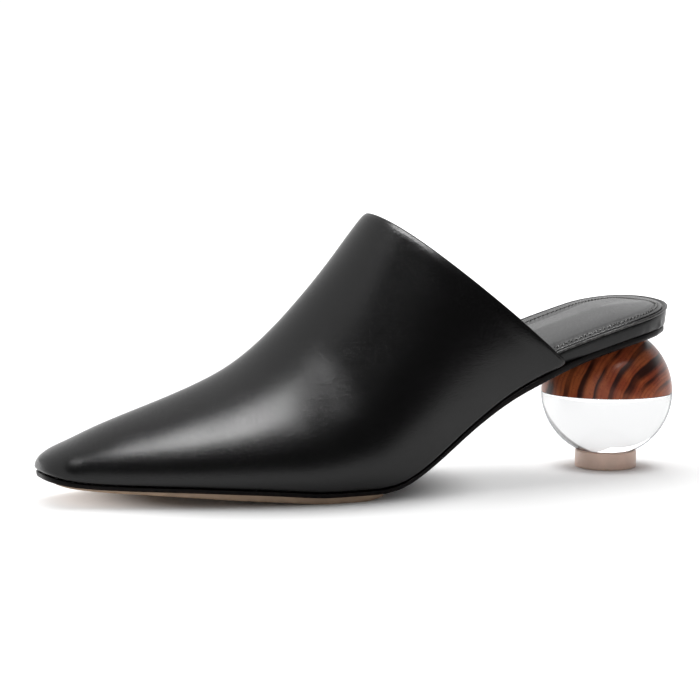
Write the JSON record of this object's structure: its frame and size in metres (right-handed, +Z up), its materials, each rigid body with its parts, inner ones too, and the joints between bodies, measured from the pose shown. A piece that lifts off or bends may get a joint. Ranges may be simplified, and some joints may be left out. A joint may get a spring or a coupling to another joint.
{
  "type": "closed toe mule",
  "caption": "Closed toe mule with a narrow squared toe, a high slanted vamp, an open back and a ball heel, half wood and half clear, on a short cylinder.",
  "frame": {"origin": "middle of the top lift's underside, on the floor under the ball heel", "axes": "+Z up from the floor, +X from the toe towards the heel, +Y towards the inner side of the foot"},
  "size_m": [0.2488, 0.0803, 0.099],
  "materials": {
    "black_calf": "smooth black calf with a soft sheen",
    "black_kid": "satin dark grey to black kid",
    "edge_ink": "black inked and waxed sole leather",
    "sole_leather": "plain tan sole leather",
    "rosewood": "lacquered red-brown wood with dark stripes",
    "clear_acrylic": "polished clear acrylic",
    "nude_rubber": "satin pinkish beige"
  },
  "bodies": {
    "root": {"upper": "black_calf", "insole": "black_kid", "sock_lining": "black_kid", "outsole": "edge_ink", "forefoot_tread": "sole_leather", "heel_wood": "rosewood", "heel_clear": "clear_acrylic", "toplift": "nude_rubber"}
  },
  "joints": []
}
